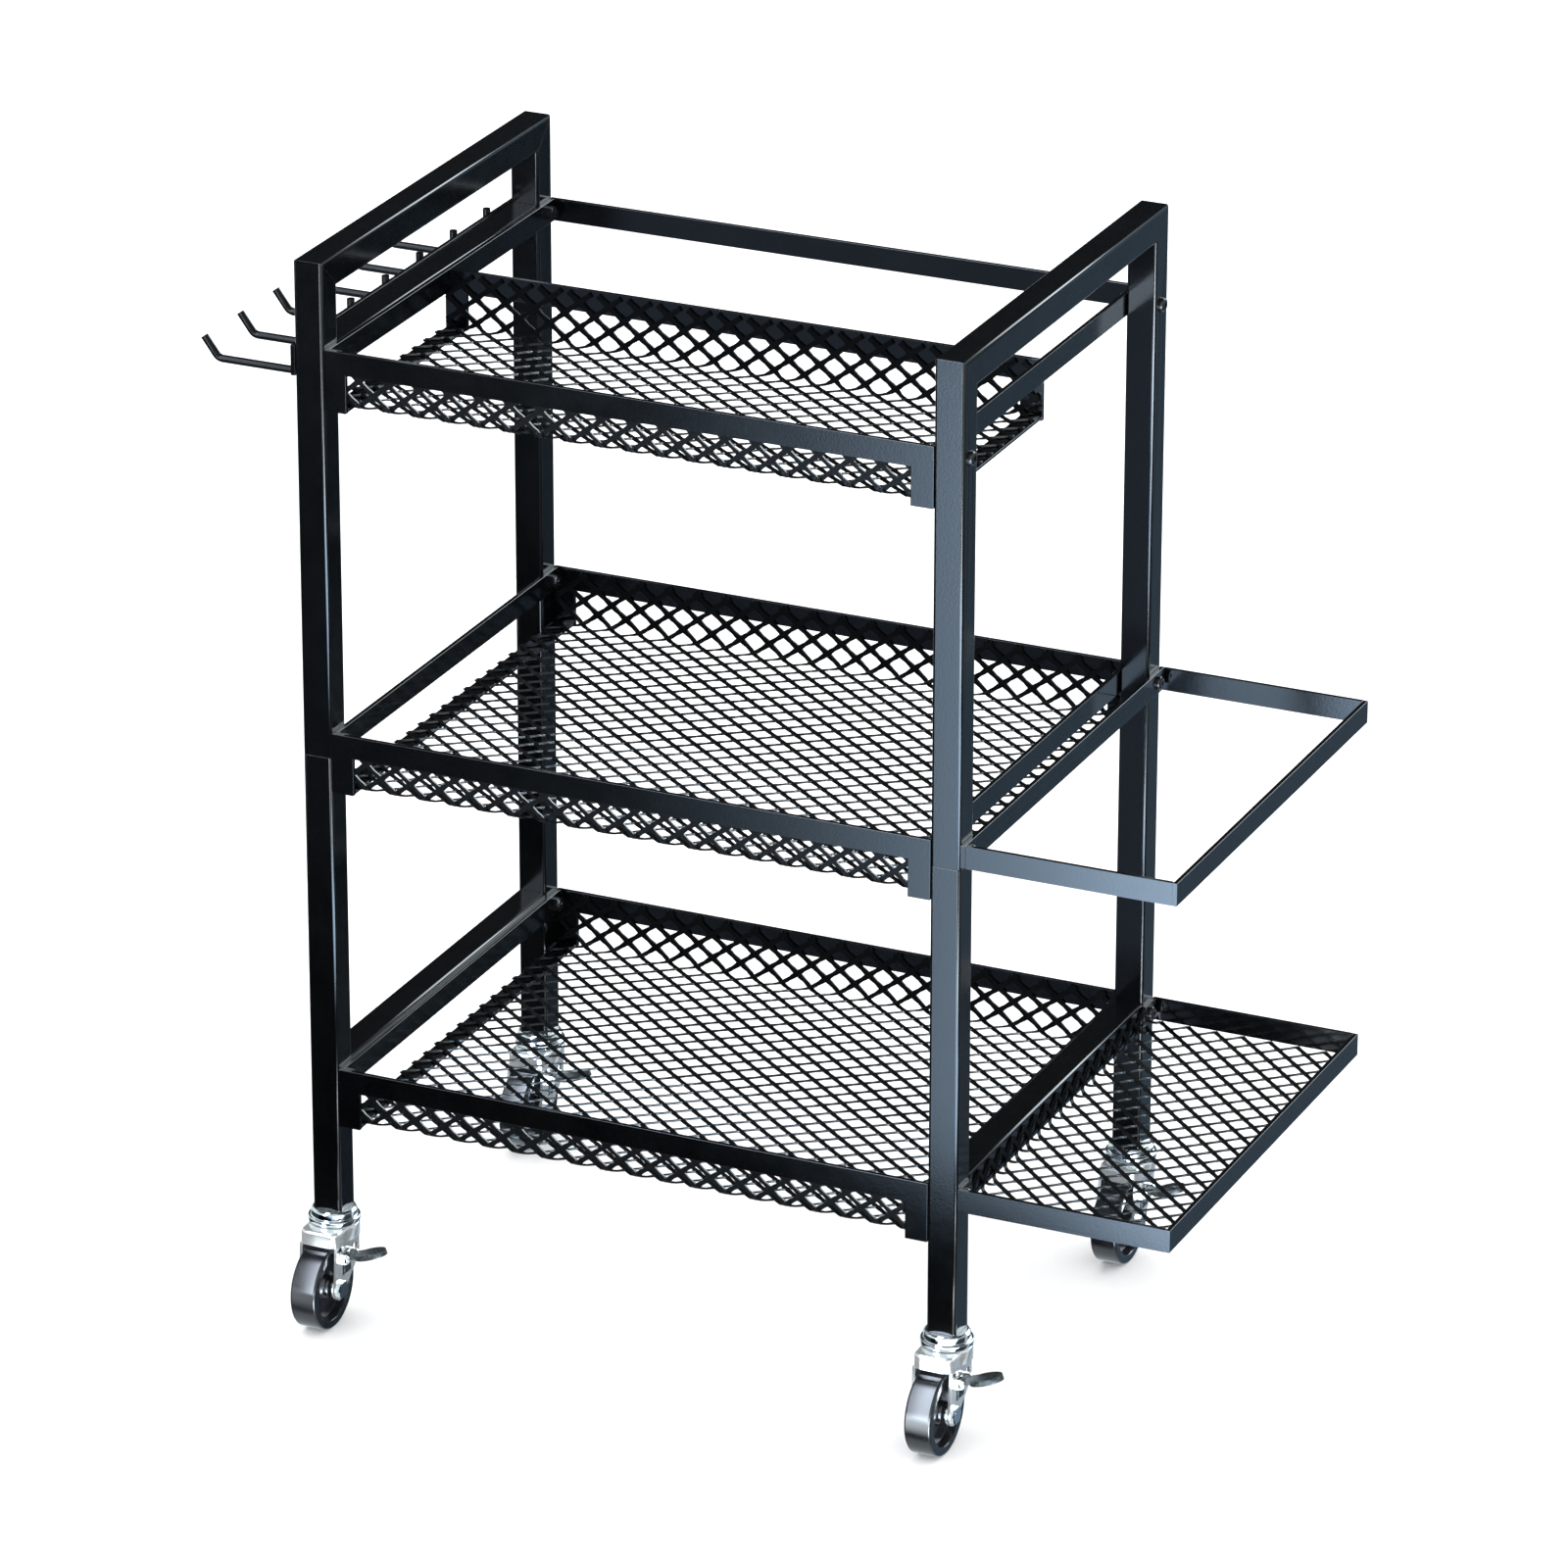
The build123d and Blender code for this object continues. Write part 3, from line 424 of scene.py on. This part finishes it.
# -------------------------------------------------------------------- stage
def stage_plane(name, x, y, z, hidden_from):
    """Rectangle that isn't part of the object, from its two ends in each axis, with the kinds of ray that
    don't see it. Returns the node tree and output of its own material."""
    data = bpy.data.meshes.new(name)
    corners = [(x[0], y[0], z[0]), (x[1], y[0], z[0]), (x[1], y[1], z[1]), (x[0], y[1], z[1])]
    data.from_pydata([Vector(c) for c in corners], [], [(0, 1, 2, 3)])
    plane = bpy.data.objects.new(name, data)
    bpy.context.scene.collection.objects.link(plane)
    for ray in hidden_from:
        setattr(plane, f"visible_{ray}", False)
    material, tree, output = new_material(name)
    data.materials.append(material)
    return tree, output


def glow(tree, tint, strength):
    """Light of a tint, given off at a strength that is a value or a socket."""
    return add_node(tree, "ShaderNodeEmission", {"Color": (*tint, 1.0), "Strength": strength}).outputs[0]


def see_through(tree):
    """Clear shader, which lets every ray pass."""
    return tree.nodes.new("ShaderNodeBsdfTransparent").outputs[0]


REFLECTIONS_ONLY = ("camera", "diffuse", "shadow")

tree, output = stage_plane("floor", (-14, 14), (-14, 14), (0, 0), ("glossy",))
tone = noise(tree, coordinates(tree), 3.0)
floor_colour = blend_colour(tree, remap(tree, tone, 0.0, 1.0), (0.925, 0.93, 0.935), (0.945, 0.948, 0.95))
shader(tree, output, floor_colour, remap(tree, tone, 0.9, 1.0), Specular_IOR_Level=0.0)

# Graded reflector under the front left of the set: it puts the cool sheen on the faces that
# look forward, fading towards the left of the cart and towards the cart itself.
REFLECTOR_POWER = 13.6
REFLECTOR_TINT = (0.56, 0.76, 1.0)
# Brightness at x - 0.44 y + 0.1, in metres.
REFLECTOR_LEAN, REFLECTOR_OFFSET = -0.44, 0.1
REFLECTOR_STOPS = ((0.0, 0.005), (0.08, 0.008), (0.125, 0.018), (0.15, 0.034), (0.20, 0.065), (0.25, 0.115),
                   (0.29, 0.19), (0.34, 0.30), (0.37, 0.38), (0.42, 0.40), (0.445, 0.48), (0.475, 0.62),
                   (0.50, 0.78), (0.55, 1.0))
# The end near the cart fades out as y - 0.42 x + 0.57 goes from the first value to the second, in metres.
END_LEAN, END_OFFSET, END_FADE = -0.42, 0.57, (-0.06, 0.055)

tree, output = stage_plane("reflector", (-1.6, 0.9), (-2.3, -0.35), (-0.03, -0.03), REFLECTIONS_ONLY)
place = axes(tree, coordinates(tree))
ramp = add_node(tree, "ShaderNodeValToRGB",
                {"Fac": slope(tree, place["X"], place["Y"], REFLECTOR_LEAN, REFLECTOR_OFFSET)})
while len(ramp.color_ramp.elements) < len(REFLECTOR_STOPS):
    ramp.color_ramp.elements.new(0.5)
for element, (position, value) in zip(ramp.color_ramp.elements, REFLECTOR_STOPS):
    element.position = position
    element.color = (value, value, value, 1.0)
end_fade = remap(tree, slope(tree, place["Y"], place["X"], END_LEAN, END_OFFSET), 1.0, 0.0, *END_FADE, True)
strength = combine(tree, "MULTIPLY", ramp.outputs["Color"], end_fade)
strength = combine(tree, "MULTIPLY", strength, REFLECTOR_POWER)
surface(tree, output, glow(tree, REFLECTOR_TINT, strength))

# Small soft panels in front of the two front casters: they light the treads and the fork skirts.
PANEL_Y, PANEL_WIDTH, PANEL_TOP = -0.205, 0.07, 0.05
PANEL_TINT = (0.86, 0.95, 1.0)
PANEL_FOOT, PANEL_HEAD = (-0.002, 0.028), (0.046, 0.032)    # heights between which each end fades

for name, x, power in (("left_low_panel", -0.269, 2.2), ("right_low_panel", 0.161, 9.0)):
    tree, output = stage_plane(name, (x, x + PANEL_WIDTH), (PANEL_Y, PANEL_Y), (0.0, PANEL_TOP), REFLECTIONS_ONLY)
    height = axes(tree, coordinates(tree))["Z"]
    strength = combine(tree, "MULTIPLY", remap(tree, height, 0.0, power, *PANEL_FOOT, True),
                       remap(tree, height, 0.0, 1.0, *PANEL_HEAD, True))
    both = add_node(tree, "ShaderNodeAddShader", {0: glow(tree, PANEL_TINT, strength), 1: see_through(tree)})
    surface(tree, output, both.outputs[0])

# One-sided flag between the front and rear legs: it keeps the rear legs' front faces dim, and
# nothing facing it from the front sees it.
FLAG_TINT = (0.28, 0.36, 0.50)
tree, output = stage_plane("rear_flag", (-0.27, 0.16), (0, 0), (0.03, 0.72), REFLECTIONS_ONLY + ("transmission",))
behind = tree.nodes.new("ShaderNodeNewGeometry").outputs["Backfacing"]
one_sided = add_node(tree, "ShaderNodeMixShader",
                     {"Fac": behind, 1: see_through(tree), 2: glow(tree, FLAG_TINT, 1.0)})
surface(tree, output, one_sided.outputs[0])

# Studio surround: even white for soft light, and for reflections a bright tent with black flags
# and lit patches. A zone is a direction, the angles from it in degrees up to which it is full and
# at which it ends, and its tone.
SOFT_STRENGTH = 1.85
TENT = (0.80, 0.90, 0.95)
ZONES = (
    ((-0.381, -0.840, -0.385), 24, 40, (0.03, 0.04, 0.05)),     # seen in faces that look forward
    ((-0.381, 0.840, 0.385), 24, 40, (0.02, 0.025, 0.03)),      # in faces that look up
    ((0.381, 0.840, -0.385), 18, 34, (0.16, 0.24, 0.33)),       # in faces that look right
    ((0.919, -0.080, -0.385), 26, 38, (0.04, 0.05, 0.06)),      # in round metal, on its right
    ((-0.919, -0.080, -0.385), 26, 40, (0.03, 0.04, 0.05)),     # in round metal, on its left
    ((0.500, -0.777, -0.385), 12, 25, (20.0, 22.5, 25.0)),      # in rolled edges, front to right
    ((0.385, 0.840, 0.381), 8, 17, (8.0, 9.2, 10.5)),           # in rolled edges, top to right
    ((0.270, 0.840, 0.470), 10, 20, (7.0, 7.8, 8.2)),           # in rolled edges, nearer the top
    ((0.760, -0.580, 0.200), 20, 32, (1.4, 1.6, 1.6)),          # low on the right, in the casters' caps
    ((-0.300, 0.150, 0.940), 28, 42, (0.04, 0.05, 0.06)),       # overhead, on the left
    ((0.250, 0.250, 0.930), 22, 36, (0.04, 0.05, 0.06)),        # overhead, on the right
)
# Soft blocks of directions: the lower right of the tent dims towards the left of the cart, and a
# tall strip box in front is seen in the treads and in the casters' crowns.
DIM_BLOCK = (("X", 0.375, 0.415), ("X", 0.62, 0.50), ("Y", 0.55, 0.70), ("Z", 0.0, -0.2))
DIM_TONE = (0.012, 0.016, 0.020)
STRIP_BLOCK = (("X", -0.435, -0.345), ("X", -0.16, -0.28), ("Z", -0.30, -0.05), ("Y", 0.10, -0.22))
STRIP_TONE = (13.0, 14.5, 17.0)

world = bpy.data.worlds.new("studio")
bpy.context.scene.world = world
world.use_nodes = True
tree = world.node_tree
tree.nodes.clear()
output = tree.nodes.new("ShaderNodeOutputWorld")
way = tree.nodes.new("ShaderNodeTexCoord").outputs["Generated"]
colour = add_node(tree, "ShaderNodeRGB").outputs[0]
colour.default_value = (*TENT, 1.0)
for centre, full, end, tone in ZONES:
    facing = add_node(tree, "ShaderNodeVectorMath", {0: way, 1: Vector(centre).normalized()}, operation="DOT_PRODUCT")
    share = remap(tree, facing.outputs["Value"], 0.0, 1.0,
                  math.cos(math.radians(end)), math.cos(math.radians(full)), True)
    colour = blend_colour(tree, share, colour, tone)
for edges, tone in ((DIM_BLOCK, DIM_TONE), (STRIP_BLOCK, STRIP_TONE)):
    colour = blend_colour(tree, block(tree, axes(tree, way), edges), colour, tone)
soft = add_node(tree, "ShaderNodeBackground", {"Color": (1.0, 1.0, 1.0, 1.0), "Strength": SOFT_STRENGTH})
tent = add_node(tree, "ShaderNodeBackground", {"Color": colour, "Strength": 1.0})
glossy_ray = tree.nodes.new("ShaderNodeLightPath").outputs["Is Glossy Ray"]
choice = add_node(tree, "ShaderNodeMixShader", {"Fac": glossy_ray, 1: soft.outputs[0], 2: tent.outputs[0]})
surface(tree, output, choice.outputs[0])

# Weak warm key from the front left, above.
KEY_PLACE, KEY_AIM = Vector((-1.6, -0.6, 2.9)), Vector((0, 0, 0.3))
lamp = bpy.data.lights.new("key_softbox", "AREA")
lamp.shape = "RECTANGLE"
lamp.size, lamp.size_y = 1.6, 1.6
lamp.energy = 1.0
lamp.color = (1.0, 0.99, 0.97)
key = bpy.data.objects.new("key_softbox", lamp)
key.location = KEY_PLACE
key.rotation_euler = (KEY_AIM - KEY_PLACE).to_track_quat("-Z", "Y").to_euler()
key.visible_glossy = False
bpy.context.scene.collection.objects.link(key)

# ------------------------------------------------------------------- camera
CAMERA_PLACE = (2.074637, -4.548433, 2.447151)      # metres
CAMERA_TURN = (67.34775, -0.08098, 24.42060)        # degrees about X, Y and Z
camera_data = bpy.data.cameras.new("camera")
camera_data.sensor_width = 36.0
camera_data.lens = 196.2855
camera_data.clip_start, camera_data.clip_end = 0.1, 60.0
camera = bpy.data.objects.new("camera", camera_data)
camera.location = CAMERA_PLACE
camera.rotation_euler = Euler([math.radians(a) for a in CAMERA_TURN], "XYZ")
bpy.context.scene.collection.objects.link(camera)
bpy.context.scene.camera = camera
bpy.context.scene.view_settings.view_transform = "Standard"
bpy.context.scene.view_settings.look = "None"
